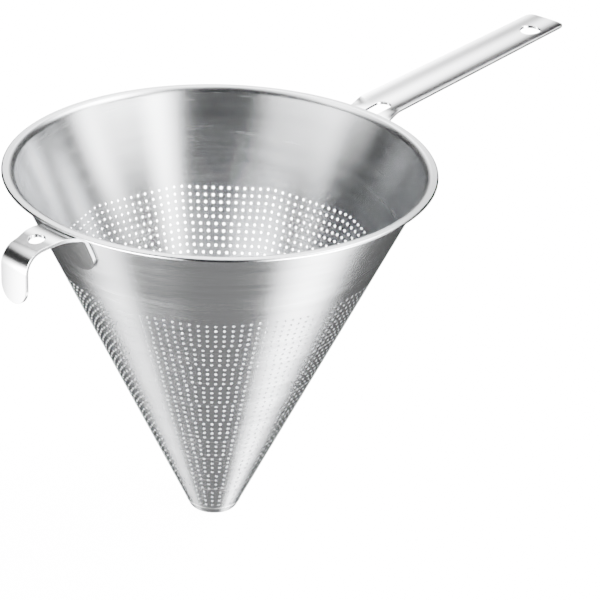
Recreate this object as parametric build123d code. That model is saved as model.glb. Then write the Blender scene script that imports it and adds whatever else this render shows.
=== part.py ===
from build123d import *
import math
import os

# A conical strainer of stainless steel sheet with a stamped handle and a pan hook.
#
# The origin is the centre of the mouth, in the plane of the rim's top. The cone hangs down along -Z,
# the handle reaches out along +X and the pan hook along -X. All sizes are in millimetres.

# Cone and rim
rim_diameter = 200.0
lip_width = 4.4
lip_drop = 1.0
lip_roll = 3.2
lip_edge_roll = 0.1
depth = 180.0
tip_radius = 11.3
wall = 0.8

# Closed tip
cap_height = 4.0
cap_corner = 2.4
tip_weld_size = 0.5

# Welded seam along one straight line of the cone
seam_width = 1.2

# Perforation: fans of straight rows in the flat sheet, fewer holes in each lower group of rows
fan_count = 10
fan_turn = 6.1
first_row_slant = 49.6
row_pitch = 3.54
row_count = 41
first_group_rows = 5
group_rows = 4
first_row_holes = 12
hole_diameter = 1.5
# One pierced hole here stands for a square of so many by so many holes of the sheet,
# with the same open area. At 1 the sheet has all its fine holes.
hole_merge = 3

# Handle strip
handle_thickness = 1.5
handle_root_width = 25.2
handle_tip_width = 22.4
handle_reach = 245.7
handle_rise = 5.0
handle_top_drop = 2.9
handle_ledge_reach = 102.0
handle_transition_length = 10.0
handle_trough_radius = 35.0
handle_end_radius = 18.0
handle_end_corner = 6.0
hang_hole_diameter = 10.6
hang_hole_from_end = 17.5
root_slot_width = 8.2
root_slot_inner_reach = 98.0
root_slot_outer_reach = 117.0
handle_pad_depth = 32.0

# Pan hook
hook_thickness = 1.7
hook_root_width = 23.4
hook_shoulder_width = 20.4
hook_neck_width = 18.6
hook_tongue_width = 16.0
hook_root_reach = 96.5
hook_shoulder_reach = 101.0
hook_crown_reach = 107.6
hook_neck_reach = 111.0
hook_tongue_reach = 117.0
hook_reach = 126.2
hook_top_drop = 2.4
hook_crown_rise = 0.2
hook_edge_drop = 3.8
hook_crown_radius = 25.0
hook_bend_radius = 8.0
hook_drop = 27.0
hook_pad_depth = 23.0
hook_hole_diameter = 7.5
hook_hole_reach = 112.4

# Pads that join the handle and the hook to the cone
pad_bend_radius = 2.2
weld_gap = 0.3
weld_spot_diameter = 5.0
weld_spot_pitch = 11.0

# Cutting tools run this far past what they cut
overrun = 5.0

rim_radius = rim_diameter / 2
mouth_radius = rim_radius - lip_width
slope = (mouth_radius - tip_radius) / depth
half_angle = math.degrees(math.atan(slope))
cos_half = math.cos(math.radians(half_angle))
sin_half = math.sin(math.radians(half_angle))
apex_slant = mouth_radius / sin_half
fan_angle = 360 / fan_count
seam_angle = fan_turn + fan_angle / 2
sheet_end = cap_height - depth
handle_length = (handle_reach - handle_ledge_reach) / math.cos(math.radians(handle_rise))


def outer_radius(z, offset=0):
    """Radius of the cone's outer face at height z, moved outwards by offset square to the sheet."""
    return mouth_radius + z * slope + offset / cos_half


def round_profile(points, radii):
    """Closed outline in the X-Z plane with the radius given for each corner."""
    outline = Polyline(*[(x, 0, z) for x, z in points], close=True)
    face = make_face(outline)
    for (x, z), radius in zip(points, radii):
        if radius > 0:
            corner = face.vertices().sort_by_distance(Vector(x, 0, z))[0]
            face = fillet(corner, radius)
    return face


def turned(face, angle=360):
    """Solid of revolution about Z that is centred on the +X direction."""
    return Solid.revolve(face.faces()[0], angle, Axis.Z).rotate(Axis.Z, -angle / 2)


def sheet_profile():
    """Section of the cone's sheet from the tip to the rolled lip, in one thickness."""
    points = [
        (outer_radius(sheet_end, -wall), sheet_end),
        (outer_radius(0, -wall), 0),
        (rim_radius, 0),
        (rim_radius, -lip_drop),
        (rim_radius - wall, -lip_drop),
        (rim_radius - wall, -wall),
        (outer_radius(-wall), -wall),
        (outer_radius(sheet_end + tip_weld_size), sheet_end + tip_weld_size),
        (outer_radius(sheet_end) - tip_weld_size, sheet_end),
    ]
    radii = [0, lip_roll + wall, lip_edge_roll + wall, 0, 0, lip_edge_roll, lip_roll, 0, 0]
    return round_profile(points, radii)


def hole_places():
    """Slant distance from the rim and angle from the fan's middle line of each hole of one fan.

    A row is straight in the flat sheet, so its ends lie a little nearer the rim once it is rolled.
    """
    places = []
    for row in range(hole_merge // 2, row_count, hole_merge):
        group = max(0, math.ceil((row - first_group_rows + 1) / group_rows))
        holes = max(1, round((first_row_holes - group) / hole_merge))
        middle = apex_slant - first_row_slant - row * row_pitch
        flat_half_fan = math.radians(fan_angle / 2) * sin_half
        half_row = middle * math.tan(flat_half_fan)
        for hole in range(holes):
            across = half_row * ((2 * hole + 1) / holes - 1)
            flat_angle = math.atan(across / middle)
            slant = apex_slant - middle / math.cos(flat_angle)
            places.append((slant, math.degrees(flat_angle / sin_half)))
    return places


def fan_tools():
    """Round punches for one fan, each square to the sheet."""
    radius = hole_diameter * hole_merge / 2
    punches = []
    for slant, angle in hole_places():
        z = -slant * cos_half
        place = Location((outer_radius(z), 0, z), (0, 90 + half_angle, 0))
        punch = place * Cylinder(radius, 2 * (wall + hole_diameter * hole_merge))
        punches.append(punch.rotate(Axis.Z, angle))
    return punches


def perforated_cone():
    """Conical sheet with its rolled lip, pierced fan by fan and open along the seam."""
    fan = turned(sheet_profile(), fan_angle) - fan_tools()
    fans = [fan.rotate(Axis.Z, fan_turn + index * fan_angle) for index in range(fan_count)]
    for index in (0, 1):
        fans[index] = fans[index] - seam_slab()
    return fans[0].fuse(*fans[1:])


def seam_slab():
    """Flat slab along the seam, from the axis out through the sheet and the lip."""
    outwards = (Align.MIN, Align.CENTER, Align.MAX)
    slab = Box(rim_radius + overrun, seam_width, depth + 2 * overrun, align=outwards)
    return (Pos(0, 0, overrun) * slab).rotate(Axis.Z, seam_angle)


def seam_weld():
    """Ground flush weld that fills the slit of the rolled sheet."""
    return turned(sheet_profile(), fan_angle).rotate(Axis.Z, seam_angle) & seam_slab()


def tip_cap():
    """Shallow pressed cup that closes the tip."""
    points = [
        (0, -depth),
        (outer_radius(-depth), -depth),
        (outer_radius(sheet_end - tip_weld_size), sheet_end - tip_weld_size),
        (outer_radius(sheet_end) - tip_weld_size, sheet_end),
        (outer_radius(sheet_end, -wall), sheet_end),
        (outer_radius(wall - depth, -wall), wall - depth),
        (0, wall - depth),
    ]
    return turned(round_profile(points, [0, cap_corner, 0, 0, 0, cap_corner - wall, 0]))


def tip_weld():
    """Bead in the groove between the end of the cone and the cap."""
    points = [
        (outer_radius(sheet_end) - tip_weld_size, sheet_end),
        (outer_radius(sheet_end - tip_weld_size), sheet_end - tip_weld_size),
        (outer_radius(sheet_end + tip_weld_size), sheet_end + tip_weld_size),
    ]
    return turned(round_profile(points, [0, 0, 0]))


def offset_line(line, distance):
    """Points of an open line moved sideways by distance, mitred at each corner."""
    moved = []
    for index, (x, z) in enumerate(line):
        before = line[max(index - 1, 0)]
        after = line[min(index + 1, len(line) - 1)]
        into = Vector(x - before[0], z - before[1]) if index > 0 else Vector(after[0] - x, after[1] - z)
        out = Vector(after[0] - x, after[1] - z) if index < len(line) - 1 else into
        into = into.normalized()
        out = out.normalized()
        middle = (into + out).normalized()
        reach = distance / middle.dot(into)
        moved.append((x - middle.Y * reach, z + middle.X * reach))
    return moved


def strip_profile(line, radii, thickness):
    """Section of a bent strip whose cone side and top side follow the given line.

    radii are those of the line's inner corners, and the outer side keeps the strip's thickness.
    """
    other = offset_line(line, -thickness)
    points = line + other[::-1]
    return round_profile(points, [0] + [r + thickness for r in radii] + [0, 0] + radii[::-1] + [0])


def pad_window(width, bottom):
    """Prism along X with a round lower end, as wide as a pad."""
    length = 2 * rim_radius
    upper = Box(length, width, -bottom - width / 2 + overrun, align=(Align.MIN, Align.CENTER, Align.MAX))
    lower = Pos(length / 2, 0, bottom + width / 2) * Rot(0, 90, 0) * Cylinder(width / 2, length)
    return Pos(0, 0, overrun) * upper + lower


def pad_line(bottom, top):
    """Lower end and upper corner of a strip's side that faces the cone."""
    return [(outer_radius(z, weld_gap), z) for z in (bottom, top)]


def band(start, end):
    """Slab that keeps what lies between two distances along X."""
    onwards = (Align.MIN, Align.CENTER, Align.CENTER)
    return Pos(start, 0, 0) * Box(end - start, rim_diameter, 2 * depth, align=onwards)


def handle_root():
    """Pad on the cone and the short level ledge under the lip."""
    line = pad_line(-handle_pad_depth - overrun, -handle_top_drop)
    line.append((handle_ledge_reach + overrun, -handle_top_drop))
    ring = turned(strip_profile(line, [pad_bend_radius], handle_thickness), fan_angle)
    return ring & band(0, handle_ledge_reach) & pad_window(handle_root_width, -handle_pad_depth)


def strip_section(x, width, sag):
    """Cross-section of the strip at x, its middle on the line of the handle, its edges raised by sag."""
    half = width / 2
    low = -handle_thickness
    above = [(x, -half, sag), (x, 0, 0), (x, half, sag)]
    under = [(x, half, sag + low), (x, 0, low), (x, -half, sag + low)]
    if sag:
        faces = [ThreePointArc(*above), ThreePointArc(*under)]
    else:
        faces = [Line(above[0], above[2]), Line(under[0], under[2])]
    edges = [Line(above[2], under[0]), Line(under[2], above[0])]
    return make_face(faces + edges)


def trough_sag(width):
    """How far the strip's edges stand above its middle."""
    return handle_trough_radius - math.sqrt(handle_trough_radius ** 2 - (width / 2) ** 2)


def handle_window():
    """Plan outline of the handle: two nearly parallel sides and a gently arched end."""
    half_root = handle_root_width / 2
    half_tip = handle_tip_width / 2
    end_sag = handle_end_radius - math.sqrt(handle_end_radius ** 2 - half_tip ** 2)
    side_end = handle_length - end_sag
    sides = Polyline((side_end, -half_tip), (0, -half_root), (-overrun, -half_root),
                     (-overrun, half_root), (0, half_root), (side_end, half_tip))
    arch = ThreePointArc((side_end, half_tip), (handle_length, 0), (side_end, -half_tip))
    face = make_face([sides, arch])
    corners = face.vertices().sort_by(Axis.X)[-2:]
    return extrude(fillet(corners, handle_end_corner), overrun, both=True)


def handle():
    """Stamped strip: a pad on the cone, a ledge with a slot, and a troughed grip with a hang hole."""
    place = Pos(handle_ledge_reach, 0, -handle_top_drop)
    rise = place * Rot(0, -handle_rise, 0)
    sag = trough_sag(handle_root_width)
    level = strip_section(0, handle_root_width, 0)
    full = strip_section(handle_transition_length, handle_root_width, sag)
    end = strip_section(handle_length + overrun, handle_root_width, sag)
    neck = loft([place * level, rise * full], ruled=True)
    grip = rise * loft([full, end], ruled=True)
    strip = (neck + grip) & rise * handle_window()
    slot_length = root_slot_outer_reach - root_slot_inner_reach
    slot_middle = (root_slot_outer_reach + root_slot_inner_reach) / 2
    slot = extrude(SlotOverall(slot_length, root_slot_width), overrun, both=True)
    hang_hole = Cylinder(hang_hole_diameter / 2, 2 * overrun)
    hang_hole = Pos(handle_length - hang_hole_from_end, 0, 0) * hang_hole
    body = handle_root() + strip
    return body - Pos(slot_middle, 0, -handle_top_drop) * slot - rise * hang_hole


def hook_profile():
    """Section of the hook: pad, crowned ledge and a tongue that points down."""
    line = pad_line(-hook_pad_depth - overrun, -hook_top_drop)
    line.append((hook_crown_reach, hook_crown_rise))
    line.append((hook_reach, -hook_edge_drop))
    line.append((hook_reach, -hook_drop - overrun))
    radii = [pad_bend_radius, hook_crown_radius, hook_bend_radius]
    return strip_profile(line, radii, hook_thickness)


def hook_window():
    """Plan outline of the hook: wide at the pad and narrower towards the tongue."""
    places = [
        (0, hook_root_width),
        (hook_root_reach, hook_root_width),
        (hook_shoulder_reach, hook_shoulder_width),
        (hook_neck_reach, hook_neck_width),
        (hook_tongue_reach, hook_tongue_width),
        (hook_reach + overrun, hook_tongue_width),
    ]
    points = [(x, width / 2) for x, width in places]
    points += [(x, -y) for x, y in reversed(points)]
    return extrude(make_face(Polyline(*points, close=True)), depth, both=True)


def pan_hook():
    """Bent strip: a pad welded to the cone, a ledge with a hole, and a tongue that hooks over a pan."""
    ring = turned(hook_profile(), fan_angle) & hook_window()
    pad = ring & band(0, rim_radius) & pad_window(hook_root_width, -hook_pad_depth)
    ledge = ring & band(rim_radius, hook_tongue_reach)
    beyond = band(hook_tongue_reach, hook_reach + overrun)
    tongue = ring & beyond & pad_window(hook_tongue_width, -hook_drop)
    droop = (hook_edge_drop + hook_crown_rise) / (hook_reach - hook_crown_reach)
    hole_top = hook_crown_rise - droop * (hook_hole_reach - hook_crown_reach)
    tilt = math.degrees(math.atan(droop))
    hole = Cylinder(hook_hole_diameter / 2, 2 * overrun).rotate(Axis.Y, tilt)
    return (pad + ledge + tongue - Pos(hook_hole_reach, 0, hole_top) * hole).rotate(Axis.Z, 180)


def weld_spots(pad_depth, angle):
    """Three round weld nuggets between a pad and the cone."""
    points = [(outer_radius(z), z) for z in (-pad_depth, 0)]
    points += [(outer_radius(z, weld_gap), z) for z in (0, -pad_depth)]
    gap = turned(round_profile(points, [0, 0, 0, 0]), fan_angle)
    middle = -pad_depth / 2
    spots = []
    for across, up in ((-1, 1), (1, 1), (0, -1)):
        z = middle + up * weld_spot_pitch / 4
        place = Location((outer_radius(z), 0, z), (0, 90 + half_angle, 0))
        nugget = place * Cylinder(weld_spot_diameter / 2, 2 * weld_spot_diameter)
        turn = math.degrees(across * weld_spot_pitch / 2 / outer_radius(z))
        spots.append((gap & nugget.rotate(Axis.Z, turn)).rotate(Axis.Z, angle))
    return Compound(children=spots)


nodes = {
    "perforated_cone": perforated_cone(),
    "seam_weld": seam_weld(),
    "tip_cap": tip_cap(),
    "tip_weld": tip_weld(),
    "handle": handle(),
    "pan_hook": pan_hook(),
    "handle_weld_spots": weld_spots(handle_pad_depth, 0),
    "hook_weld_spots": weld_spots(hook_pad_depth, 180),
}
os.makedirs("parts", exist_ok=True)
for name, shape in nodes.items():
    export_step(shape, f"parts/{name}.step", write_pcurves=False)
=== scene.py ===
"""A conical strainer of brushed steel with a stamped handle and a pan hook, on a pale studio floor.

Sizes are in metres. The origin is the centre of the mouth, +Z is up, the handle lies along +X and the
pan hook along -X. Each surface is worked out as whole arrays, patch by patch, and then welded.
"""
import math

import bpy
import numpy as np
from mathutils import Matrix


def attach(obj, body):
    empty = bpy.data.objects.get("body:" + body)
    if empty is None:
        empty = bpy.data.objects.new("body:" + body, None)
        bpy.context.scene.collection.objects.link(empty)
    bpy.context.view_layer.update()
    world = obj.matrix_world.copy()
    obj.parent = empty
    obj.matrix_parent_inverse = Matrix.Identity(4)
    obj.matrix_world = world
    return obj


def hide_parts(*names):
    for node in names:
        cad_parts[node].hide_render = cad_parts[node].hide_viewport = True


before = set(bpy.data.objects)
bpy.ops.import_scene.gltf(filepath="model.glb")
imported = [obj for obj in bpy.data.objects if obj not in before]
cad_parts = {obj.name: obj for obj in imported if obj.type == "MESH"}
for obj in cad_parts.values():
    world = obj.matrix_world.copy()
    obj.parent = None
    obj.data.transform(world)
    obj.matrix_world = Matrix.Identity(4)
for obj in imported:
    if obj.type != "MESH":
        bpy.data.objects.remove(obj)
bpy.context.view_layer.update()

# Cone and rolled lip
RIM_RADIUS = 0.100
LIP_WIDTH = 0.0044
LIP_DROP = 0.0010
LIP_ROLL = 0.0032
LIP_EDGE_ROLL = 0.0001
DEPTH = 0.180
TIP_RADIUS = 0.0113
WALL = 0.0008
CAP_HEIGHT = 0.004
CAP_CORNER = 0.0024
TIP_WELD_SIZE = 0.0005
SEAM_WIDTH = 0.0012

# Perforation
FAN_COUNT = 10
FAN_TURN = math.radians(6.1)
FIRST_ROW_SLANT = 0.0496
ROW_PITCH = 0.00354
ROW_COUNT = 41
FIRST_GROUP_ROWS = 5
GROUP_ROWS = 4
FIRST_ROW_HOLES = 12
HOLE_RADIUS = 0.00075
HOLE_SIDES = 12
GROUP_STRIP = 0.0003

# Columns of the plain band in each fan, of the end by the tip and of a turned piece, and steps of the arcs
BAND_COLUMNS = 24
END_COLUMNS = 6
TURNED_COLUMNS = 96
LIP_STEPS = 10
LIP_EDGE_STEPS = 5
CAP_STEPS = 10
BEAD_STEPS = 8

MOUTH_RADIUS = RIM_RADIUS - LIP_WIDTH
SLOPE = (MOUTH_RADIUS - TIP_RADIUS) / DEPTH
HALF_ANGLE = math.atan(SLOPE)
COS_HALF = math.cos(HALF_ANGLE)
SIN_HALF = math.sin(HALF_ANGLE)
APEX_SLANT = MOUTH_RADIUS / SIN_HALF
APEX_HEIGHT = -APEX_SLANT * COS_HALF
FAN_ANGLE = 2 * math.pi / FAN_COUNT
FLAT_SPREAD = math.tan(FAN_ANGLE / 2 * SIN_HALF)
SHEET_END = CAP_HEIGHT - DEPTH
SEAM_TURN = FAN_TURN + FAN_ANGLE / 2
SEAM_SIDE = np.array([-math.sin(SEAM_TURN), math.cos(SEAM_TURN), 0])
DIAGONAL = math.sqrt(0.5)

# Points in the same cell of this grid are one point. The shift keeps the usual places off the borders
# of the cells.
WELD_GRID = 1e-6
WELD_SHIFT = 0.37


class Skin:
    """Patches of points, triangles and outward normals that are welded into one closed mesh."""

    def __init__(self):
        self.points, self.normals, self.triangles, self.slots, self.count = [], [], [], [], 0

    def add(self, points, normals, triangles, slot=0):
        """One patch. Triangles count its points from zero, and either winding will do."""
        self.points.append(points.reshape(-1, 3))
        self.normals.append(np.broadcast_to(normals, points.shape).reshape(-1, 3))
        self.triangles.append(triangles.reshape(-1, 3) + self.count)
        self.slots.append(np.full(len(self.triangles[-1]), slot))
        self.count += self.points[-1].shape[0]

    def add_grid(self, points, normals, slot=0):
        """A patch of rows and columns, in batches along any leading axes. Each cell has two triangles."""
        rows, columns = points.shape[-3:-1]
        batches = points.size // (rows * columns * 3)
        corner = (np.arange(rows - 1)[:, None] * columns + np.arange(columns - 1)).ravel()
        below = corner + columns
        cell = np.stack([corner, corner + 1, below + 1, corner, below + 1, below], -1)
        self.add(points, normals, np.arange(batches)[:, None, None] * rows * columns + cell, slot)

    def add_zip(self, first, second, first_normals, second_normals):
        """A strip between two lines with unequal numbers of points. Each step takes the line that lags."""
        sizes = first.shape[-2] - 1, second.shape[-2] - 1
        middles = [(np.arange(size) + 0.5) / size for size in sizes]
        over = np.searchsorted(middles[1], middles[0], side="left")
        under = np.searchsorted(middles[0], middles[1], side="right")
        steps = [np.arange(size) for size in sizes]
        shift = sizes[0] + 1
        strip = np.concatenate([
            np.stack([steps[0], steps[0] + 1, over + shift], -1),
            np.stack([steps[1] + shift, steps[1] + shift + 1, under], -1),
        ])
        points = np.concatenate([first, second], -2)
        normals = np.concatenate([first_normals, second_normals], -2)
        batches = points.size // (3 * (sizes[0] + sizes[1] + 2))
        offsets = np.arange(batches)[:, None, None] * (sizes[0] + sizes[1] + 2)
        self.add(points, normals, offsets + strip)

    def build(self, name):
        """Winds each triangle along its normals, welds equal points, drops slivers, makes the object."""
        points = np.concatenate(self.points)
        normals = np.concatenate(self.normals)
        triangles = np.concatenate(self.triangles)
        corners = points[triangles]
        facing = np.cross(corners[:, 1] - corners[:, 0], corners[:, 2] - corners[:, 0])
        backward = np.einsum("ij,ij->i", facing, normals[triangles].sum(1)) < 0
        triangles[backward] = triangles[backward][:, ::-1]
        keys = np.floor(points / WELD_GRID + WELD_SHIFT).astype(np.int64)
        _, first, same = np.unique(keys, axis=0, return_index=True, return_inverse=True)
        welded = same.reshape(-1)[triangles]
        whole = (welded != np.roll(welded, -1, axis=1)).all(axis=1)
        mesh = bpy.data.meshes.new(name)
        mesh.vertices.add(len(first))
        mesh.vertices.foreach_set("co", points[first].ravel())
        mesh.loops.add(3 * int(whole.sum()))
        mesh.loops.foreach_set("vertex_index", welded[whole].ravel().astype(np.int32))
        mesh.polygons.add(int(whole.sum()))
        mesh.polygons.foreach_set("loop_start", np.arange(0, 3 * int(whole.sum()), 3, dtype=np.int32))
        mesh.polygons.foreach_set("material_index", np.concatenate(self.slots)[whole].astype(np.int32))
        mesh.update(calc_edges=True)
        mesh.shade_smooth()
        mesh.normals_split_custom_set(normals[triangles[whole]].reshape(-1, 3))
        piece = bpy.data.objects.new(name, mesh)
        bpy.context.scene.collection.objects.link(piece)
        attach(piece, "root")
        return piece


def outer_radius(height, offset=0):
    """Radius of the cone's outer face at that height, moved outwards by offset square to the sheet."""
    return MOUTH_RADIUS + height * SLOPE + offset / COS_HALF


def rolled(across, reach, fan, inner):
    """Flat sheet to cone. In the sheet a fan's middle line starts at the apex, reach runs along it and
    across square to it. The distance from the apex stays, and the angle grows by 1 / sin(half angle).
    Returns points and outward normals of the outer face, or of the inner face, one wall further in."""
    slant = np.hypot(across, reach)
    turn = FAN_TURN + fan * FAN_ANGLE + np.arctan2(across, reach) / SIN_HALF
    depth = WALL if inner else 0
    radius = slant * SIN_HALF - depth * COS_HALF
    height = APEX_HEIGHT + slant * COS_HALF + depth * SIN_HALF
    points = np.stack([radius * np.cos(turn), radius * np.sin(turn), height], -1)
    side = -1 if inner else 1
    level = np.full_like(turn, -SIN_HALF)
    return points, side * np.stack([COS_HALF * np.cos(turn), COS_HALF * np.sin(turn), level], -1)


def slit_side(fan, parts, last):
    """-1 and 1 at the two edges of the slit for the seam weld, between fans 0 and 1, and zero elsewhere."""
    return np.where((fan == 0) & (parts == last), -1, np.where((fan == 1) & (parts == 0), 1, 0))


def row_line(reach, cells, fan):
    """Points of a straight row line across each fan, at equal parts, kept clear of the slit."""
    parts = np.arange(cells + 1)
    across = reach * FLAT_SPREAD * (2 * parts / cells - 1)
    across = np.broadcast_to(across, np.broadcast_shapes(fan.shape, (cells + 1,)))
    return across + slit_side(fan, parts, cells) * SEAM_WIDTH / 2


def turned(out, up, turn):
    """The (r, z) pair carried round the axis to each turn, as (x, y, z)."""
    return np.stack([out * np.cos(turn), out * np.sin(turn), np.full_like(turn, up)], -1)


def ring_line(radius, height, normal, columns):
    """Points of a level ring, fan by fan, at equal turns but for the slit, with its (r, z) normal."""
    fan = np.arange(FAN_COUNT)[:, None]
    parts = np.arange(columns + 1)
    turn = FAN_TURN + (fan + parts / columns - 0.5) * FAN_ANGLE
    turn = turn + slit_side(fan, parts, columns) * np.arcsin(SEAM_WIDTH / 2 / radius)
    return turned(radius, height, turn), turned(normal[0], normal[1], turn)


def add_cells(skin, row, cells, top, bottom):
    """One row of pierced cells in all the fans: each is a four-sided frame round a hole, on both faces.
    The hole's points go round from its +across side, a quarter of them to each side of the frame."""
    fan = np.arange(FAN_COUNT)[:, None]
    middle = APEX_SLANT - FIRST_ROW_SLANT - row * ROW_PITCH
    upper, lower = row_line(top, cells, fan), row_line(bottom, cells, fan)
    frame_x = np.stack([upper[:, 1:], upper[:, :-1], lower[:, :-1], lower[:, 1:]], -1)
    frame_y = np.broadcast_to(np.array([top, top, bottom, bottom]), frame_x.shape)
    around = np.arange(HOLE_SIDES) * 2 * math.pi / HOLE_SIDES
    centre = middle * FLAT_SPREAD * ((2 * np.arange(cells) + 1) / cells - 1)
    hole_x = centre[:, None] + HOLE_RADIUS * np.cos(around)
    hole_x = np.broadcast_to(hole_x, (FAN_COUNT, cells, HOLE_SIDES))
    hole_y = np.broadcast_to(middle + HOLE_RADIUS * np.sin(around), hole_x.shape)
    quarter = HOLE_SIDES // 4
    side, step = np.arange(4)[:, None], np.arange(quarter)
    hole_step = quarter * side + step
    spokes = [np.broadcast_to(side, hole_step.shape), 4 + hole_step, 4 + (hole_step + 1) % HOLE_SIDES]
    spans = [side, (side + 1) % 4, 4 + quarter * (side + 1) % HOLE_SIDES]
    cell_triangles = np.concatenate([np.stack(part, -1).reshape(-1, 3) for part in (spokes, spans)])
    offsets = np.arange(FAN_COUNT * cells)[:, None, None] * (4 + HOLE_SIDES)
    rims = []
    for inner in (False, True):
        across, reach = np.concatenate([frame_x, hole_x], -1), np.concatenate([frame_y, hole_y], -1)
        points, normals = rolled(across, reach, fan[..., None], inner)
        skin.add(points, normals, offsets + cell_triangles)
        rims.append(points[:, :, 4:][:, :, np.arange(HOLE_SIDES + 1) % HOLE_SIDES])
    wall = np.stack(rims, -3)
    inward = wall[..., :-1, :].mean((-3, -2), keepdims=True) - wall
    skin.add_grid(wall, inward / np.linalg.norm(inward, axis=-1, keepdims=True))


def row_plan():
    """For each row its number of cells in a fan and the reach of its upper and lower line.
    The rows are in groups, each with one hole less in a fan, and a narrow strip parts the groups."""
    row = np.arange(ROW_COUNT)
    group = np.maximum(0, np.ceil((row - FIRST_GROUP_ROWS + 1) / GROUP_ROWS)).astype(int)
    middle = APEX_SLANT - FIRST_ROW_SLANT - row * ROW_PITCH
    changes = np.diff(group) > 0
    top = middle + ROW_PITCH / 2 - np.append(False, changes) * GROUP_STRIP / 2
    bottom = middle - ROW_PITCH / 2 + np.append(changes, False) * GROUP_STRIP / 2
    return list(zip(FIRST_ROW_HOLES - group, top, bottom))


def arc(centre, radius, start, end, steps):
    """Points and normals of an arc in the (r, z) plane, with angles in degrees."""
    angle = np.radians(np.linspace(start, end, steps + 1))
    normal = np.stack([np.cos(angle), np.sin(angle)], -1)
    return np.asarray(centre) + radius * normal, normal


def lip_section():
    """Half outlines of the plain band and the rolled lip, from the band up and out to the free edge:
    points and normals of the lower, outer face and of the upper, inner face, point for point.
    The band runs straight into a bend to level, and that into a bend straight down."""
    outer_corner = np.array([outer_radius(-WALL), -WALL])
    turn = 90 - math.degrees(HALF_ANGLE)
    reach = LIP_ROLL * math.tan(math.radians(turn / 2))
    first_centre = outer_corner + np.array([reach, -LIP_ROLL])
    second_centre = np.array([RIM_RADIUS - WALL - LIP_EDGE_ROLL, -WALL - LIP_EDGE_ROLL])
    sides = []
    for offset, facing in ((0, -1), (WALL, 1)):
        bend, bend_normal = arc(first_centre, LIP_ROLL + offset, 90 + turn, 90, LIP_STEPS)
        edge, edge_normal = arc(second_centre, LIP_EDGE_ROLL + offset, 90, 0, LIP_EDGE_STEPS)
        free = np.array([[second_centre[0] + LIP_EDGE_ROLL + offset, -LIP_DROP]])
        points = np.concatenate([bend, edge, free])
        normals = facing * np.concatenate([bend_normal, edge_normal, [[1, 0]]])
        sides.append((points, normals))
    return sides


def add_rings(skin, points, normals, columns):
    """A turned surface through the given (r, z) points, made fan by fan of level rings."""
    rings = [ring_line(p[0], p[1], n, columns) for p, n in zip(points, normals)]
    skin.add_grid(np.stack([r[0] for r in rings], 1), np.stack([r[1] for r in rings], 1))
    return rings


# The slit's two edges: the fan, which end of its lines, and which way the cut face looks
SLIT_EDGES = ((0, -1, 1), (1, 0, -1))


def add_slit_wall(skin, edge_lines):
    """The two cut faces along the seam: strips between the sheet's outer and inner edge lines."""
    for fan, end, facing in SLIT_EDGES:
        outer, inner = [np.stack([line[fan, end] for line in side]) for side in edge_lines]
        skin.add_grid(np.stack([outer, inner]), facing * SEAM_SIDE)


def perforated_cone():
    """The conical sheet with all its fine holes, its plain band and its rolled lip. The rows of pierced
    cells come first. Then each face's lines, from foot to lip, are joined where no row of cells lies."""
    skin = Skin()
    fan = np.arange(FAN_COUNT)[:, None]
    plan = row_plan()
    edge_lines = ([], [])
    for row, (cells, top, bottom) in enumerate(plan):
        add_cells(skin, row, cells, top, bottom)
    lip = lip_section()
    end_points = (
        np.array([[outer_radius(SHEET_END + TIP_WELD_SIZE), SHEET_END + TIP_WELD_SIZE],
                  [outer_radius(SHEET_END) - TIP_WELD_SIZE, SHEET_END]]),
        np.array([[outer_radius(SHEET_END, -WALL), SHEET_END]]),
    )
    for inner in (False, True):
        face = (-COS_HALF, SIN_HALF) if inner else (COS_HALF, -SIN_HALF)
        lines = [ring_line(*end_points[inner][0], face, END_COLUMNS)]
        for cells, top, bottom in reversed(plan):
            lines.append(rolled(row_line(bottom, cells, fan), bottom, fan, inner))
            lines.append(rolled(row_line(top, cells, fan), top, fan, inner))
        points, normals = lip[inner]
        lines += add_rings(skin, points, normals, BAND_COLUMNS)
        for index in range(0, 2 * ROW_COUNT + 1, 2):
            below, above = lines[index], lines[index + 1]
            gap = np.abs(below[0][0, 0] - above[0][0, 0]).max()
            if gap > WELD_GRID:
                skin.add_zip(below[0], above[0], below[1], above[1])
        edge_lines[inner].extend(line[0] for line in lines)
    add_slit_wall(skin, edge_lines)
    rim_edge = [edge_lines[0][-1], edge_lines[1][-1]]
    skin.add_grid(np.stack(rim_edge, 1), np.array([0, 0, -1.0]))
    chamfer = [ring_line(*point, (DIAGONAL, -DIAGONAL), END_COLUMNS) for point in end_points[0]]
    skin.add_grid(np.stack([chamfer[0][0], chamfer[1][0]], 1), chamfer[0][1][:, None])
    foot = [chamfer[1][0], edge_lines[1][0]]
    skin.add_grid(np.stack(foot, 1), np.array([0, 0, -1.0]))
    for fan_index, end, facing in SLIT_EDGES:
        corner = np.stack([line[fan_index, end] for line in (chamfer[0][0], *foot)])
        skin.add(corner, facing * SEAM_SIDE, np.array([[0, 1, 2]]))
    return skin.build("pierced_cone")


cone = perforated_cone()
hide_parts("perforated_cone")


def turned_piece(name, points, normals, columns):
    """A closed solid of revolution: each (r, z) point is carried round the axis, with its (r, z) normal.
    Points come in runs, and a run ends where the next one starts, so a sharp corner has two normals."""
    skin = Skin()
    turn = np.linspace(0, 2 * math.pi, columns + 1)
    turn[-1] = 0
    for run, facing in zip(points, normals):
        surface, outward = [
            turned(pair[:, :1], pair[:, 1:], np.broadcast_to(turn, (len(pair), columns + 1)))
            for pair in (np.asarray(run, float), np.asarray(facing, float))]
        skin.add_grid(surface, outward)
    return skin.build(name)


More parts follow.
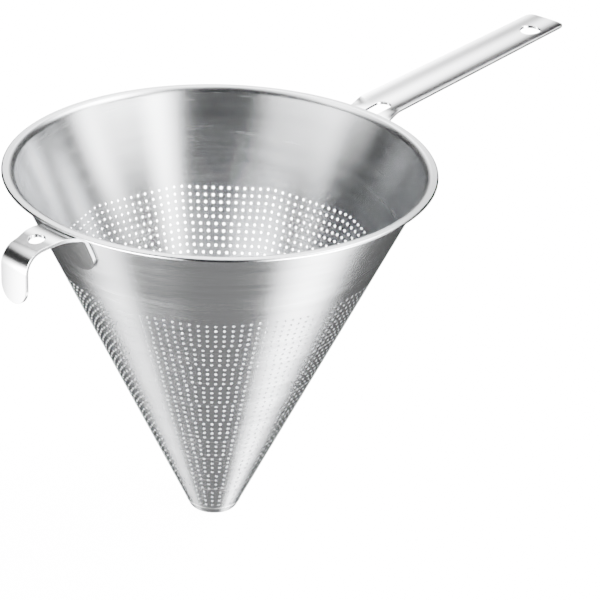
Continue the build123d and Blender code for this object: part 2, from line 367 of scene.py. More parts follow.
def tip_cup():
    """Shallow cup at the tip: flat bottom, rounded corner, and a wall that follows the cone."""
    turn = 90 - math.degrees(HALF_ANGLE)
    reach = CAP_CORNER * math.tan(math.radians(turn / 2))
    centre = (outer_radius(-DEPTH) - reach, CAP_CORNER - DEPTH)
    outer, outer_normal = arc(centre, CAP_CORNER, -90, turn - 90, CAP_STEPS)
    inner, inner_normal = arc(centre, CAP_CORNER - WALL, turn - 90, -90, CAP_STEPS)
    face = np.array([COS_HALF, -SIN_HALF])
    groove_low = [outer_radius(SHEET_END - TIP_WELD_SIZE), SHEET_END - TIP_WELD_SIZE]
    groove_high = [outer_radius(SHEET_END) - TIP_WELD_SIZE, SHEET_END]
    inner_edge = [outer_radius(SHEET_END, -WALL), SHEET_END]
    runs = [
        [[0, -DEPTH], outer[0]],
        np.concatenate([outer, [groove_low]]),
        [groove_low, groove_high],
        [groove_high, inner_edge],
        np.concatenate([[inner_edge], inner]),
        [inner[-1], [0, WALL - DEPTH]],
    ]
    facing = [
        [[0, -1]] * 2,
        np.concatenate([outer_normal, [face]]),
        [[DIAGONAL, DIAGONAL]] * 2,
        [[0, 1]] * 2,
        -np.concatenate([[face], inner_normal]),
        [[0, 1]] * 2,
    ]
    return turned_piece("tip_cup", runs, facing, TURNED_COLUMNS)


def tip_bead():
    """Weld bead between the cone and the cup: a groove-shaped ring with a slightly crowned face."""
    low = np.array([outer_radius(SHEET_END - TIP_WELD_SIZE), SHEET_END - TIP_WELD_SIZE])
    high = np.array([outer_radius(SHEET_END + TIP_WELD_SIZE), SHEET_END + TIP_WELD_SIZE])
    root = np.array([outer_radius(SHEET_END) - TIP_WELD_SIZE, SHEET_END])
    share = np.linspace(0, 1, BEAD_STEPS + 1)[:, None]
    face = np.array([COS_HALF, -SIN_HALF])
    along = np.array([SIN_HALF, COS_HALF])
    crown = TIP_WELD_SIZE / 4 * (1 - (2 * share - 1) ** 2)
    bead = low + (high - low) * share + crown * face
    lean = face + (2 * share - 1) * along / 2
    runs = [bead, [high, root], [root, low]]
    facing = [lean / np.linalg.norm(lean, axis=1, keepdims=True)]
    facing += [[[way * DIAGONAL, way * DIAGONAL]] * 2 for way in (1, -1)]
    return turned_piece("tip_bead", runs, facing, TURNED_COLUMNS)


# Strips of the handle and the pan hook
WELD_GAP = 0.0003
PAD_BEND_RADIUS = 0.0022
EDGE_ROUND = 0.00025

# Cells across a strip and steps round a cut edge, rings of a round end and round the holes
ACROSS = 24
EDGE_STEPS = 4
END_RINGS = 8
HOLE_RINGS = 8
HANG_HOLE_RINGS = 10

# Stations along the strips: plain parts, the part from the pad to the slot, the parts with a round hole,
# the part with the slot, and the corners and the arch of the handle's end
PLAIN_STATIONS = 60
PAD_STATIONS = 40
HOLE_STATIONS = 25
SLOT_STATIONS = 49
CORNER_STATIONS = 9
ARCH_STATIONS = 21

# How far the part with a hole reaches past the middle of the hole, or of the slot's round end, as shares
# of the radius
HOOK_HOLE_SHARE = 1.6
SLOT_START_SHARE = 1.5
SLOT_END_SHARE = 1.7
HANG_HOLE_SHARE = 1.7

# Step of the blank over which the bent directions are measured, and places tried along a bent line
FACING_STEP = 1e-6
LINE_SAMPLES = 4001

HANDLE_THICKNESS = 0.0015
HANDLE_ROOT_WIDTH = 0.0252
HANDLE_TIP_WIDTH = 0.0224
HANDLE_REACH = 0.2457
HANDLE_RISE = 5
HANDLE_TOP_DROP = 0.0029
HANDLE_LEDGE_REACH = 0.102
HANDLE_TRANSITION_LENGTH = 0.010
HANDLE_TROUGH_RADIUS = 0.035
HANDLE_END_RADIUS = 0.018
HANDLE_END_CORNER = 0.006
HANG_HOLE_RADIUS = 0.0053
HANG_HOLE_FROM_END = 0.0175
ROOT_SLOT_WIDTH = 0.0082
ROOT_SLOT_INNER_REACH = 0.098
ROOT_SLOT_OUTER_REACH = 0.117
HANDLE_PAD_DEPTH = 0.032

HOOK_THICKNESS = 0.0017
HOOK_ROOT_WIDTH = 0.0234
HOOK_SHOULDER_WIDTH = 0.0204
HOOK_NECK_WIDTH = 0.0186
HOOK_TONGUE_WIDTH = 0.016
HOOK_ROOT_REACH = 0.0965
HOOK_SHOULDER_REACH = 0.101
HOOK_CROWN_REACH = 0.1076
HOOK_NECK_REACH = 0.111
HOOK_TONGUE_REACH = 0.117
HOOK_REACH = 0.1262
HOOK_TOP_DROP = 0.0024
HOOK_CROWN_RISE = 0.0002
HOOK_EDGE_DROP = 0.0038
HOOK_CROWN_RADIUS = 0.025
HOOK_BEND_RADIUS = 0.008
HOOK_DROP = 0.027
HOOK_PAD_DEPTH = 0.023
HOOK_HOLE_RADIUS = 0.00375
HOOK_HOLE_REACH = 0.1124


class BentLine:
    """A line of straight runs joined by arcs, in the (r, z) plane. Every bend turns to the right.
    Each leg has its length, start, heading and curvature, and a depth goes to the line's right."""

    def __init__(self, corners, radii):
        corners = [np.array(c, float) for c in corners]
        headings = [math.atan2(*(b - a)[::-1]) for a, b in zip(corners, corners[1:])]
        cuts = [0] + [r * math.tan((a - b) / 2) for r, a, b in zip(radii, headings, headings[1:])] + [0]
        self.legs, self.length = [], 0
        for index, heading in enumerate(headings):
            start, end = corners[index], corners[index + 1]
            way = np.array([math.cos(heading), math.sin(heading)])
            run = np.linalg.norm(end - start) - cuts[index] - cuts[index + 1]
            self._leg(run, start + way * cuts[index], heading, 0)
            if index < len(radii):
                swing = heading - headings[index + 1]
                self._leg(radii[index] * swing, end - way * cuts[index + 1], heading, -1 / radii[index])

    def _leg(self, length, start, heading, curvature):
        self.legs.append((self.length, length, start, heading, curvature))
        self.length += length

    def at(self, along, depth):
        """Radius, height and heading at a distance along the line, at a depth to its right."""
        along, depth = np.broadcast_arrays(along, depth)
        radius, height, heading = (np.zeros(along.shape) for _ in range(3))
        for index, (begin, length, start, angle, curvature) in enumerate(self.legs):
            here = (along >= begin) if index else np.ones(along.shape, bool)
            local = along[here] - begin
            turned_to = angle + curvature * local
            if curvature:
                step_r = (np.sin(turned_to) - math.sin(angle)) / curvature
                step_z = (math.cos(angle) - np.cos(turned_to)) / curvature
            else:
                step_r, step_z = local * math.cos(angle), local * math.sin(angle)
            radius[here] = start[0] + step_r + depth[here] * np.sin(turned_to)
            height[here] = start[1] + step_z - depth[here] * np.cos(turned_to)
            heading[here] = turned_to
        return radius, height, heading

    def along_at(self, radius):
        """Distance along the line at which it first reaches that radius."""
        samples = np.linspace(0, self.length, LINE_SAMPLES)
        return float(np.interp(radius, self.at(samples, 0)[0], samples))


class Strip:
    """A flat blank, length along and width across, that place() bends into a solid strip.
    place(along, across, depth) gives points, with depth zero on the side that faces up and the cone."""

    def __init__(self, place, thickness):
        self.skin, self.place, self.thickness = Skin(), place, thickness

    def add_sheet(self, along, across):
        """Both faces of a patch of rows and columns."""
        for depth, facing in ((0, -1), (self.thickness, 1)):
            normals = self.facing(along, across, depth, 0, 0, facing)
            self.skin.add_grid(self.place(along, across, depth), normals)

    def add_edge(self, along, across, out_along, out_across):
        """Cut edge under a line of the blank: two rounded corners and a plain wall, on the side that
        (out_along, out_across) points to. The line is the edge less its rounding."""
        angle = np.radians(np.linspace(0, 90, EDGE_STEPS + 1))
        out = np.concatenate([EDGE_ROUND * np.sin(angle), EDGE_ROUND * np.sin(angle[::-1])])[:, None]
        low = EDGE_ROUND * (1 - np.cos(angle))
        depth = np.concatenate([low, self.thickness - low[::-1]])[:, None]
        lean = np.concatenate([-np.cos(angle), np.cos(angle[::-1])])[:, None]
        side = np.concatenate([np.sin(angle), np.sin(angle[::-1])])[:, None]
        along, across = along + out * out_along, across + out * out_across
        normals = self.facing(along, across, depth, side * out_along, side * out_across, lean)
        self.skin.add_grid(self.place(along, across, depth), normals, 1)

    def facing(self, along, across, depth, part_along, part_across, part_depth):
        """Normal of the bent surface whose normal in the flat blank has these parts along it, across it
        and into its depth: each part times the cross product of the two other bent directions."""
        along, across, depth = np.broadcast_arrays(along, across, depth)
        ways = []
        for shift in np.eye(3) * FACING_STEP:
            ahead = self.place(along + shift[0], across + shift[1], depth + shift[2])
            behind = self.place(along - shift[0], across - shift[1], depth - shift[2])
            ways.append((ahead - behind) / (2 * FACING_STEP))
        square = [np.cross(ways[1], ways[2]), np.cross(ways[2], ways[0]), np.cross(ways[0], ways[1])]
        side = np.sign((ways[0] * square[0]).sum(-1, keepdims=True))
        parts = (part_along, part_across, part_depth)
        normal = side * sum(np.asarray(part)[..., None] * way for part, way in zip(parts, square))
        return normal / np.linalg.norm(normal, axis=-1, keepdims=True)

    def add_holed(self, along, across, hole_start, hole_end, hole_radius, rings):
        """Both faces between a closed line and a round-ended slot on the middle line, and the slot's wall.
        Each point of the line is joined to the slot's nearest point, so a round hole is a short slot."""
        nearest = np.clip(along, hole_start, hole_end)
        way = np.stack([along - nearest, across], -1)
        way = way / np.linalg.norm(way, axis=-1, keepdims=True)
        radius = hole_radius + EDGE_ROUND
        hole_along, hole_across = nearest + radius * way[..., 0], radius * way[..., 1]
        share = np.linspace(0, 1, rings + 1)[:, None]
        sheet_along = hole_along + (along - hole_along) * share
        sheet_across = hole_across + (across - hole_across) * share
        self.add_sheet(sheet_along, sheet_across)
        self.add_edge(hole_along[None], hole_across[None], -way[..., 0], -way[..., 1])


def closed(*runs):
    """Runs of points joined end to end into a closed line, as (along, across)."""
    points = np.concatenate([np.asarray(run)[:-1] for run in runs] + [np.asarray(runs[0])[:1]])
    return points[:, 0], points[:, 1]


def side_runs(stations, half_width):
    """The two long edges of a stretch of blank, less the rounding: the +across one, then the other."""
    half = half_width(stations) - EDGE_ROUND
    return np.stack([stations, half], -1), np.stack([stations, -half], -1)


def cross_run(station, half_width, towards):
    """Points straight across the blank, from one edge's rounding to the other's."""
    part = np.linspace(-1, 1, ACROSS + 1)[::towards]
    return np.stack([np.full_like(part, station), part * (half_width(station) - EDGE_ROUND)], -1)


def border(patch, half_width):
    """Closed line round a stretch of blank: the +across edge, the far end, the other edge, the near end."""
    plus, minus = side_runs(patch, half_width)
    far, near = cross_run(patch[-1], half_width, -1), cross_run(patch[0], half_width, 1)
    return closed(plus, far, minus[::-1], near)


def add_plain(strip, stations, half_width):
    """Faces and long edges of a stretch of strip with no hole in it."""
    part = np.linspace(-1, 1, ACROSS + 1)
    half = half_width(stations)[:, None] - EDGE_ROUND
    strip.add_sheet(np.broadcast_to(stations[:, None], (len(stations), ACROSS + 1)), part * half)
    add_sides(strip, stations, half_width)


def add_sides(strip, stations, half_width):
    """Long cut edges of a stretch of strip."""
    for side in (-1, 1):
        strip.add_edge(stations[None], side * (half_width(stations) - EDGE_ROUND)[None], 0, side)


def add_round_end(strip, start, half_width, towards):
    """Half-round end of the strip past a station, as rings about the middle of that station."""
    radius = half_width(np.array([start]))[0] - EDGE_ROUND
    turn = np.linspace(-math.pi / 2, math.pi / 2, ACROSS + 1)
    cross = cross_run(start, half_width, 1)
    rim = np.stack([start + towards * radius * np.cos(turn), radius * np.sin(turn)], -1)
    share = np.linspace(0, 1, END_RINGS + 1)[:, None, None]
    sheet = cross + (rim - cross) * share
    strip.add_sheet(sheet[..., 0], sheet[..., 1])
    strip.add_edge(rim[None, :, 0], rim[None, :, 1], towards * np.cos(turn), np.sin(turn))


def pad_line(bottom, top):
    """Lower end and upper corner of a strip's side that faces the cone."""
    return [(outer_radius(z, WELD_GAP), z) for z in (bottom, top)]


def pan_hook():
    """Bent strip along -X: round pad on the cone, crowned ledge with a hole, and a hanging tongue.
    The blank's line is turned about the cone's axis, so the strip curves with the rim."""
    corners = pad_line(-HOOK_PAD_DEPTH, -HOOK_TOP_DROP)
    corners.append((HOOK_CROWN_REACH, HOOK_CROWN_RISE))
    corners += [(HOOK_REACH, -HOOK_EDGE_DROP), (HOOK_REACH, -HOOK_DROP)]
    inner_radii = (PAD_BEND_RADIUS, HOOK_CROWN_RADIUS, HOOK_BEND_RADIUS)
    line = BentLine(corners, [radius + HOOK_THICKNESS for radius in inner_radii])

    def place(along, across, depth):
        radius, height, _ = line.at(along, depth)
        across = np.broadcast_to(across, radius.shape)
        return np.stack([-np.sqrt(radius ** 2 - across ** 2), across, height], -1)

    reaches = [HOOK_ROOT_REACH, HOOK_SHOULDER_REACH, HOOK_NECK_REACH, HOOK_TONGUE_REACH]
    widths = np.array([HOOK_ROOT_WIDTH, HOOK_SHOULDER_WIDTH, HOOK_NECK_WIDTH, HOOK_TONGUE_WIDTH])
    marks = [line.along_at(reach) for reach in reaches]

    def half_width(along):
        return np.interp(along, marks, widths / 2)

    strip = Strip(place, HOOK_THICKNESS)
    pad_middle = HOOK_ROOT_WIDTH / 2
    hole_at = line.along_at(HOOK_HOLE_REACH)
    patch_reach = HOOK_HOLE_SHARE * HOOK_HOLE_RADIUS
    patch = np.linspace(hole_at - patch_reach, hole_at + patch_reach, HOLE_STATIONS)
    tongue_end = line.length - HOOK_TONGUE_WIDTH / 2
    add_round_end(strip, pad_middle, half_width, -1)
    add_plain(strip, np.linspace(pad_middle, patch[0], PLAIN_STATIONS), half_width)
    along, across = border(patch, half_width)
    strip.add_holed(along, across, hole_at, hole_at, HOOK_HOLE_RADIUS, HOLE_RINGS)
    add_sides(strip, patch, half_width)
    add_plain(strip, np.linspace(patch[-1], tongue_end, PLAIN_STATIONS), half_width)
    add_round_end(strip, tongue_end, half_width, 1)
    return strip.skin.build("bent_hook")


def handle_end(length):
    """The handle's outline round its tip, less the rounding: from one side over a corner, along the flat
    arch of the end and over the other corner. The arch is a circle, and each corner an arc inside it and
    the side. Returns the points and the parts of the outward way."""
    radius, corner = HANDLE_END_RADIUS - EDGE_ROUND, HANDLE_END_CORNER - EDGE_ROUND
    half = HANDLE_TIP_WIDTH / 2 - EDGE_ROUND
    centre = length - EDGE_ROUND - radius
    corner_across = half - corner
    lean = math.asin(corner_across / (radius - corner))
    corner_along = centre + (radius - corner) * math.cos(lean)
    turn = np.linspace(math.pi / 2, lean, CORNER_STATIONS)
    first = np.stack([corner_along + corner * np.cos(turn), corner_across + corner * np.sin(turn)], -1)
    sweep = np.linspace(lean, -lean, ARCH_STATIONS)
    arch = np.stack([centre + radius * np.cos(sweep), radius * np.sin(sweep)], -1)
    outline = np.concatenate([first, arch[1:-1], first[::-1] * [1, -1]])
    outward = np.concatenate([turn, sweep[1:-1], -turn[::-1]])
    return outline, np.cos(outward), np.sin(outward)


def handle():
    """Stamped strip along +X: round pad on the cone, level ledge with a slot, and a rising, troughed
    grip with a hang hole. The pad is turned about the cone's axis, and a smooth step takes the turn out
    between the slot's inner end and the ledge's. The grip runs straight on at its rise. Its trough is a
    circle across the strip, and a smooth step deepens it over the transition."""
    rise = math.radians(HANDLE_RISE)
    grip = HANDLE_REACH - HANDLE_LEDGE_REACH
    corners = pad_line(-HANDLE_PAD_DEPTH, -HANDLE_TOP_DROP)
    corners.append((HANDLE_LEDGE_REACH, -HANDLE_TOP_DROP))
    line = BentLine(corners, [PAD_BEND_RADIUS + HANDLE_THICKNESS])
    ledge_end = line.length
    length = ledge_end + grip / math.cos(rise)
    bend_end = line.along_at(HANDLE_LEDGE_REACH) - (HANDLE_LEDGE_REACH - ROOT_SLOT_INNER_REACH)

    def place(along, across, depth):
        along, across, depth = np.broadcast_arrays(along, across, depth)
        radius, height, _ = line.at(np.minimum(along, ledge_end), depth)
        beyond = np.maximum(along - ledge_end, 0)
        flatten = np.clip((along - bend_end) / (ledge_end - bend_end), 0, 1)
        curve = (radius - np.sqrt(radius ** 2 - across ** 2)) * (1 - flatten ** 2 * (3 - 2 * flatten))
        ramp = np.clip(beyond / HANDLE_TRANSITION_LENGTH, 0, 1)
        sag = HANDLE_TROUGH_RADIUS - np.sqrt(HANDLE_TROUGH_RADIUS ** 2 - across ** 2)
        lift = sag * ramp ** 2 * (3 - 2 * ramp)
        lean = np.clip(beyond / HANDLE_THICKNESS, 0, 1) * rise
        x = radius - curve + beyond * math.cos(rise) - (lift - depth) * np.sin(lean)
        z = height + depth + beyond * math.sin(rise) + (lift - depth) * np.cos(lean)
        on_line = along < ledge_end
        x = np.where(on_line, radius - curve, x)
        z = np.where(on_line, height, z)
        return np.stack([x, across, z], -1)

    widths = np.array([HANDLE_ROOT_WIDTH, HANDLE_TIP_WIDTH])

    def half_width(along):
        return np.interp(along, [ledge_end, length], widths / 2)

    strip = Strip(place, HANDLE_THICKNESS)
    pad_middle = HANDLE_ROOT_WIDTH / 2
    slot_radius = ROOT_SLOT_WIDTH / 2
    slot_start = ledge_end - (HANDLE_LEDGE_REACH - ROOT_SLOT_INNER_REACH) + slot_radius
    slot_end = ledge_end + (ROOT_SLOT_OUTER_REACH - HANDLE_LEDGE_REACH) / math.cos(rise) - slot_radius
    hang_at = length - HANG_HOLE_FROM_END
    outline, out_along, out_across = handle_end(length)
    slot_patch = np.linspace(slot_start - SLOT_START_SHARE * slot_radius,
                             slot_end + SLOT_END_SHARE * slot_radius, SLOT_STATIONS)
    end_patch = np.linspace(hang_at - HANG_HOLE_SHARE * HANG_HOLE_RADIUS, outline[0, 0], HOLE_STATIONS)
    add_round_end(strip, pad_middle, half_width, -1)
    add_plain(strip, np.linspace(pad_middle, slot_patch[0], PAD_STATIONS), half_width)
    along, across = border(slot_patch, half_width)
    strip.add_holed(along, across, slot_start, slot_end, slot_radius, HOLE_RINGS)
    add_sides(strip, slot_patch, half_width)
    add_plain(strip, np.linspace(slot_patch[-1], end_patch[0], PLAIN_STATIONS), half_width)
    plus, minus = side_runs(end_patch, half_width)
    outline[0], outline[-1] = plus[-1], minus[-1]
    along, across = closed(plus, outline, minus[::-1], cross_run(end_patch[0], half_width, 1))
    strip.add_holed(along, across, hang_at, hang_at, HANG_HOLE_RADIUS, HANG_HOLE_RINGS)
    add_sides(strip, end_patch, half_width)
    strip.add_edge(outline[None, :, 0], outline[None, :, 1], out_along, out_across)
    return strip.skin.build("stamped_handle")


cup = tip_cup()
bead = tip_bead()
hook = pan_hook()
grip = handle()
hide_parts("tip_cap")
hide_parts("tip_weld")
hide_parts("pan_hook")
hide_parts("handle")


def value_of(tree, kind, operation, *inputs):
    """A Math or Vector Math node on the given sockets or numbers, and its output."""
    node = tree.nodes.new(kind)
    node.operation = operation
    for socket, value in zip(node.inputs, inputs):
        if isinstance(value, (int, float, tuple)):
            socket.default_value = value
        else:
            tree.links.new(value, socket)
    return node.outputs[0]


def maths(tree, operation, *inputs):
    """A Math node's output."""
    return value_of(tree, "ShaderNodeMath", operation, *inputs)


def noise(tree, place, scale, detail):
    """Noise texture read at a place, as a value about one half."""
    node = tree.nodes.new("ShaderNodeTexNoise")
    node.inputs["Scale"].default_value = scale
    node.inputs["Detail"].default_value = detail
    tree.links.new(place, node.inputs["Vector"])
    return node.outputs["Fac"]


def brush_line_group():
    """Fine lines left by brushing: noise on a place that its user has already drawn out along the lines,
    with a finer and a coarser layer. Tone is about zero, and Height is the relief."""
    tree = bpy.data.node_groups.new("brush_lines", "ShaderNodeTree")
    tree.interface.new_socket("Place", in_out="INPUT", socket_type="NodeSocketVector")
    tree.interface.new_socket("Fineness", in_out="INPUT", socket_type="NodeSocketFloat")
    tree.interface.new_socket("Tone", in_out="OUTPUT", socket_type="NodeSocketFloat")
    tree.interface.new_socket("Height", in_out="OUTPUT", socket_type="NodeSocketFloat")
    entry, leave = tree.nodes.new("NodeGroupInput"), tree.nodes.new("NodeGroupOutput")
    fine = value_of(tree, "ShaderNodeVectorMath", "SCALE", entry.outputs["Place"])
    tree.links.new(entry.outputs["Fineness"], fine.node.inputs["Scale"])
    lines = noise(tree, fine, scale=1.0, detail=3.0)
    patches = noise(tree, entry.outputs["Place"], scale=0.25, detail=2.0)
    tone = maths(tree, "SUBTRACT", maths(tree, "ADD", lines, patches), 1.0)
    tree.links.new(tone, leave.inputs["Tone"])
    tree.links.new(lines, leave.inputs["Height"])
    return tree


def metal(name, colour, roughness, anisotropy=0.0):
    """A steel finish with plain values, and its tree and shader."""
    material = bpy.data.materials.new(name)
    material.use_nodes = True
    shader = material.node_tree.nodes["Principled BSDF"]
    shader.inputs["Base Color"].default_value = (*colour, 1)
    shader.inputs["Metallic"].default_value = 1
    shader.inputs["Roughness"].default_value = roughness
    shader.inputs["Anisotropic"].default_value = anisotropy
    return material, material.node_tree, shader


# The darkest and the lightest tone of the brush lines, as shares of the plain colour, how far the plain
# tone lies between them, the swing of the roughness as a share of it, and the depth of the relief
DARKEST_SHARE = 0.55
LIGHTEST_SHARE = 1.2
REST_MIX = 0.69
ROUGHNESS_SHARE = 1 / 3
RELIEF_DEPTH = 0.0001


def shade(tree, shader, place, colour, roughness, fineness, contrast, relief):
    """Carries the brush lines to the finish: they change its colour and roughness a little, and bump it."""
    lines = tree.nodes.new("ShaderNodeGroup")
    lines.node_tree = brush_lines
    tree.links.new(place, lines.inputs["Place"])
    lines.inputs["Fineness"].default_value = fineness
    tone = maths(tree, "MULTIPLY", lines.outputs["Tone"], contrast)
    mix = tree.nodes.new("ShaderNodeMix")
    mix.data_type = "RGBA"
    mix.inputs[6].default_value = (*[part * DARKEST_SHARE for part in colour], 1)
    mix.inputs[7].default_value = (*[min(1, part * LIGHTEST_SHARE) for part in colour], 1)
    tree.links.new(maths(tree, "ADD", tone, REST_MIX), mix.inputs[0])
    tree.links.new(mix.outputs[2], shader.inputs["Base Color"])
    change = maths(tree, "MULTIPLY", lines.outputs["Tone"], roughness * ROUGHNESS_SHARE)
    tree.links.new(maths(tree, "ADD", change, roughness), shader.inputs["Roughness"])
    bump = tree.nodes.new("ShaderNodeBump")
    bump.inputs["Strength"].default_value = relief
    bump.inputs["Distance"].default_value = RELIEF_DEPTH
    tree.links.new(lines.outputs["Height"], bump.inputs["Height"])
    tree.links.new(bump.outputs["Normal"], shader.inputs["Normal"])


def object_place(tree):
    """Place in the object's own frame, in metres."""
    return tree.nodes.new("ShaderNodeTexCoord").outputs["Object"]


# Noise sizes round the cone and up it: the lines are long round the cone and fine up it
TURN_SIZE = 2.0
HEIGHT_SIZE = 1000.0


def round_the_cone(tree):
    """Place drawn out round the axis: the direction from the axis and the height, each times its size."""
    split = tree.nodes.new("ShaderNodeSeparateXYZ")
    tree.links.new(object_place(tree), split.inputs[0])
    flat = tree.nodes.new("ShaderNodeCombineXYZ")
    tree.links.new(split.outputs[0], flat.inputs[0])
    tree.links.new(split.outputs[1], flat.inputs[1])
    way = value_of(tree, "ShaderNodeVectorMath", "NORMALIZE", flat.outputs[0])
    way_split, joined = tree.nodes.new("ShaderNodeSeparateXYZ"), tree.nodes.new("ShaderNodeCombineXYZ")
    tree.links.new(way, way_split.inputs[0])
    tree.links.new(maths(tree, "MULTIPLY", way_split.outputs[0], TURN_SIZE), joined.inputs[0])
    tree.links.new(maths(tree, "MULTIPLY", way_split.outputs[1], TURN_SIZE), joined.inputs[1])
    tree.links.new(maths(tree, "MULTIPLY", split.outputs[2], HEIGHT_SIZE), joined.inputs[2])
    return joined.outputs[0]


def stretched(tree, sizes):
    """Object place times a size for each axis."""
    return value_of(tree, "ShaderNodeVectorMath", "MULTIPLY", object_place(tree), sizes)


brush_lines = brush_line_group()

# Cone and cup. A quarter turn from the radial tangent spreads the light up and down the slant.
SHEET_COLOUR = (0.74, 0.75, 0.765)
SHEET_ROUGHNESS = 0.25
SHEET_ANISOTROPY = 0.85
QUARTER_TURN = 0.25
brushed_sheet, tree, shader = metal("brushed_cone_steel", SHEET_COLOUR, SHEET_ROUGHNESS, SHEET_ANISOTROPY)
shader.inputs["Anisotropic Rotation"].default_value = QUARTER_TURN
shade(tree, shader, round_the_cone(tree), SHEET_COLOUR, SHEET_ROUGHNESS,
      fineness=2.0, contrast=0.3, relief=0.0012)
tangent = tree.nodes.new("ShaderNodeTangent")
tangent.direction_type = "RADIAL"
tangent.axis = "Z"
tree.links.new(tangent.outputs[0], shader.inputs["Tangent"])

# Faces of the handle and the hook, with lines along them
STRIP_COLOUR = (0.80, 0.805, 0.815)
STRIP_ROUGHNESS = 0.16
STRIP_SIZES = (40.0, 900.0, 900.0)
polished_strip, tree, shader = metal("polished_strip_steel", STRIP_COLOUR, STRIP_ROUGHNESS)
shade(tree, shader, stretched(tree, STRIP_SIZES), STRIP_COLOUR, STRIP_ROUGHNESS,
      fineness=1.5, contrast=0.08, relief=0.0004)

# Their stamped edges
CUT_COLOUR = (0.78, 0.785, 0.80)
CUT_ROUGHNESS = 0.32
CUT_SIZES = (300.0, 300.0, 2500.0)
cut_edge, tree, shader = metal("cut_edge", CUT_COLOUR, CUT_ROUGHNESS)
shade(tree, shader, stretched(tree, CUT_SIZES), CUT_COLOUR, CUT_ROUGHNESS,
      fineness=1.0, contrast=0.2, relief=0.02)

# Welds
BEAD_COLOUR = (0.62, 0.62, 0.635)
BEAD_ROUGHNESS = 0.4
BEAD_SIZES = (900.0, 900.0, 900.0)
ground_bead, tree, shader = metal("ground_bead", BEAD_COLOUR, BEAD_ROUGHNESS)
shade(tree, shader, stretched(tree, BEAD_SIZES), BEAD_COLOUR, BEAD_ROUGHNESS,
      fineness=1.0, contrast=0.3, relief=0.1)

for piece, finishes in (
    (cone, [brushed_sheet]), (cup, [brushed_sheet]), (bead, [ground_bead]),
    (hook, [polished_strip, cut_edge]), (grip, [polished_strip, cut_edge]),
    (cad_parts["seam_weld"], [brushed_sheet]),
    (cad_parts["handle_weld_spots"], [ground_bead]),
    (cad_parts["hook_weld_spots"], [ground_bead]),
):
    piece.data.materials.clear()
    for finish in finishes:
        piece.data.materials.append(finish)

# Camera at the photograph's place. Its turns are in degrees, its lens and sensor in millimetres.
CAMERA_PLACE = (-0.755734, -0.729804, 0.461117)
CAMERA_TURNS = (63.25471, -1.96033, -47.1227)
LENS = 150
SENSOR_WIDTH = 36
camera = bpy.data.objects.new("camera", bpy.data.cameras.new("camera"))
camera.location = CAMERA_PLACE
camera.rotation_euler = [math.radians(angle) for angle in CAMERA_TURNS]
camera.data.lens = LENS
camera.data.sensor_width = SENSOR_WIDTH
bpy.context.scene.collection.objects.link(camera)
bpy.context.scene.camera = camera

# Pale floor just below the tip, lit so evenly that no shadow shows. The steel mirrors the panels below
# it and not the floor itself.
WHITE = 14.0
FLOOR_SIZE = 12
FLOOR_GAP = 0.001
FLOOR_COLOUR = (0.93, 0.93, 0.93)
FLOOR_ROUGHNESS = 0.9
bpy.ops.mesh.primitive_plane_add(size=FLOOR_SIZE, location=(0, 0, -DEPTH - FLOOR_GAP))
floor = bpy.context.object
floor.name = "floor"
floor.visible_glossy = False
floor_finish = bpy.data.materials.new("pale_floor")
floor_finish.use_nodes = True
floor_shader = floor_finish.node_tree.nodes["Principled BSDF"]
floor_shader.inputs["Base Color"].default_value = (*FLOOR_COLOUR, 1)
floor_shader.inputs["Roughness"].default_value = FLOOR_ROUGHNESS
floor_shader.inputs["Emission Color"].default_value = (1, 1, 1, 1)
floor_shader.inputs["Emission Strength"].default_value = WHITE
floor.data.materials.append(floor_finish)

# Soft panels round the object: the azimuth of the middle, half the width, the height of the middle above
# the horizon and half the height, all in degrees, and the brightness. Between them the studio is dark.
PANELS = {
    "low front right": (-62, 22, -47, 11, 30),
    "low back left": (136, 8, -40, 13, 28),
    "left wall": (168, 27, -10, 7, 64),
    "right wall": (-86, 20, -8, 16, 60),
    "left wall, wide": (174, 24, -3, 13, 28),
    "front right strip": (-96, 6, 30, 23, 12),
    "ceiling right": (-20, 38, 56, 9, 30),
    "ceiling back": (29, 11, 58, 13, 4),
    "ceiling left": (96, 40, 58, 8, 8),
    "back strip": (46, 9, 36, 9, 14),
    "back right strip": (-53, 7, 16, 15, 11),
    "back left strip": (142, 11, -10, 15, 10),
    "below left": (100, 16, -64, 6, 1.0),
}

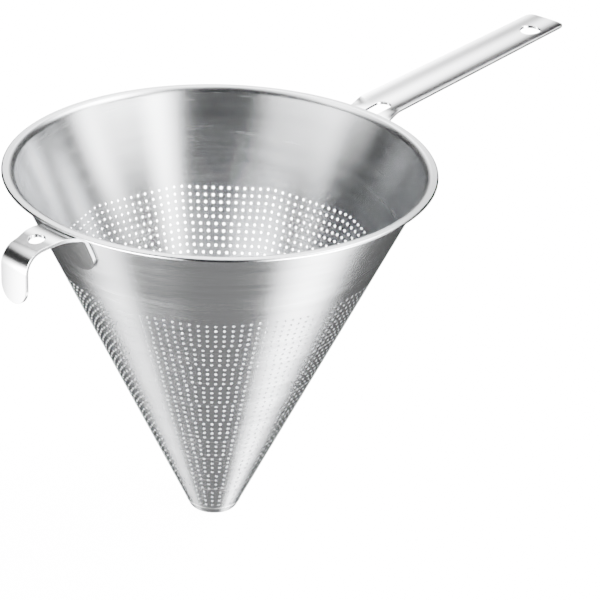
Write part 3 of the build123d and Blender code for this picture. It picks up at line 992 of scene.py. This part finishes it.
# Soft edges of the panels, sideways and upwards, in degrees, and the light of the dark and from below
EDGE_WIDTH = 10
EDGE_HEIGHT = 12
DARK = 0.036
FROM_BELOW = 0.3


def fade(tree, distance, half, edge):
    """One inside half, zero outside it, with a soft edge of that width to both sides. In degrees."""
    node = tree.nodes.new("ShaderNodeMapRange")
    node.interpolation_type = "SMOOTHSTEP"
    tree.links.new(maths(tree, "ABSOLUTE", distance), node.inputs["Value"])
    node.inputs["From Min"].default_value = math.radians(half + edge)
    node.inputs["From Max"].default_value = math.radians(half - edge)
    return node.outputs["Result"]


def studio(tree):
    """Light that comes from each direction: dark, a little from below, and the panels."""
    split = tree.nodes.new("ShaderNodeSeparateXYZ")
    tree.links.new(tree.nodes.new("ShaderNodeTexCoord").outputs["Generated"], split.inputs[0])
    azimuth = maths(tree, "ARCTAN2", split.outputs[1], split.outputs[0])
    height = maths(tree, "ARCSINE", split.outputs[2])
    steepness = maths(tree, "POWER", maths(tree, "MINIMUM", split.outputs[2], 0.0), 2.0)
    light = maths(tree, "ADD", maths(tree, "MULTIPLY", steepness, FROM_BELOW), DARK)
    for turn, half_width, rise, half_height, brightness in PANELS.values():
        past = maths(tree, "SUBTRACT", azimuth, math.radians(turn))
        across = fade(tree, maths(tree, "WRAP", past, math.pi, -math.pi), half_width, EDGE_WIDTH)
        above = maths(tree, "SUBTRACT", height, math.radians(rise))
        panel = maths(tree, "MULTIPLY", across, fade(tree, above, half_height, EDGE_HEIGHT))
        light = maths(tree, "ADD", light, maths(tree, "MULTIPLY", panel, float(brightness)))
    return light


# The camera itself sees plain white behind the object
world = bpy.data.worlds.new("studio")
world.use_nodes = True
bpy.context.scene.world = world
tree = world.node_tree
seen = tree.nodes.new("ShaderNodeLightPath").outputs["Is Camera Ray"]
brightness = tree.nodes.new("ShaderNodeMix")
tree.links.new(seen, brightness.inputs[0])
tree.links.new(studio(tree), brightness.inputs[2])
brightness.inputs[3].default_value = WHITE
tree.nodes["Background"].inputs["Color"].default_value = (1, 1, 1, 1)
tree.links.new(brightness.outputs[0], tree.nodes["Background"].inputs["Strength"])
